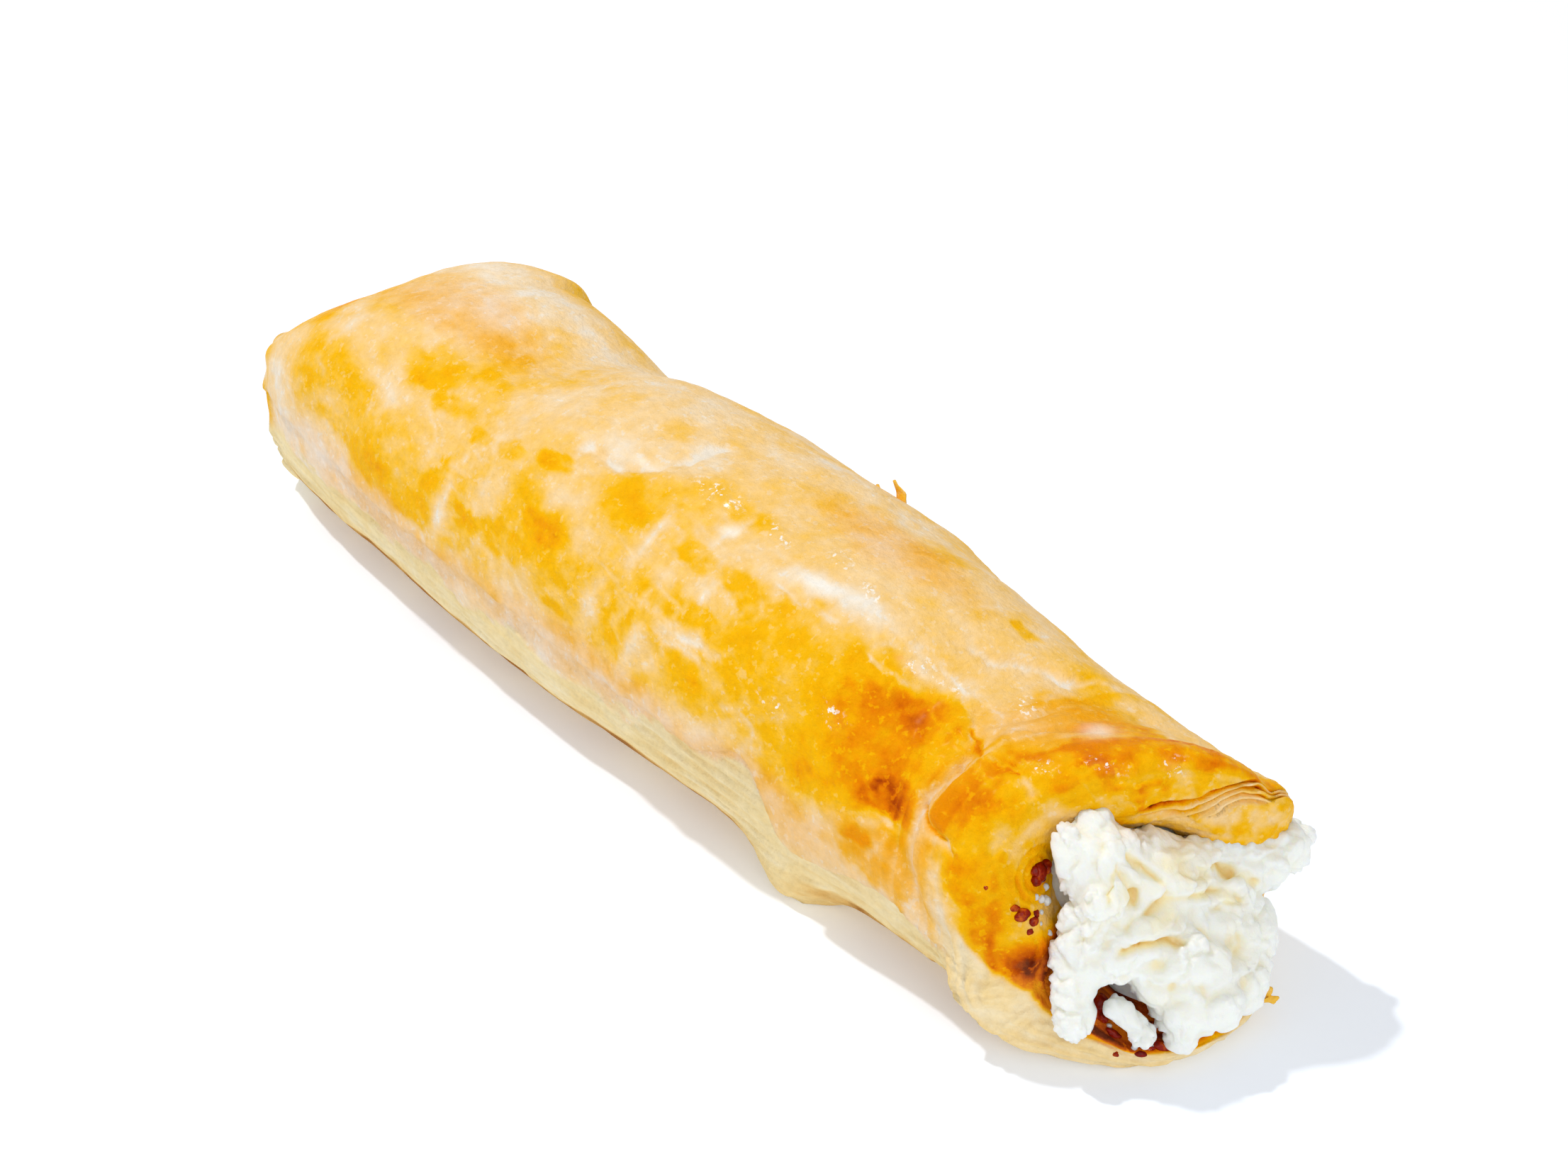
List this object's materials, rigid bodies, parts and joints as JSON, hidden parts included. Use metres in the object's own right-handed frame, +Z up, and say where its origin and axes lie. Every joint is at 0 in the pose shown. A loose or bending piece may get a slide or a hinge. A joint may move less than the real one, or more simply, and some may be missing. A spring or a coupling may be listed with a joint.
{
  "type": "cheese pastry roll",
  "caption": "Baked puff pastry roll, long and slightly flattened, with a glossy golden crust and soft white curd cheese that swells out of its open end.",
  "frame": {"origin": "on the surface that the roll lies on, under the middle of the roll's box", "axes": "+X along the roll, towards the open end where the cheese swells out; +Y across it; +Z up"},
  "size_m": [0.1638, 0.0434, 0.0366],
  "materials": {
    "crust": "egg-washed puff pastry, baked golden, glossy on top and dry and flaky at the edges",
    "curd_cheese": "soft, moist white curd cheese"
  },
  "bodies": {
    "root": {"pastry_roll": "crust", "cheese_filling": "curd_cheese"}
  },
  "joints": []
}
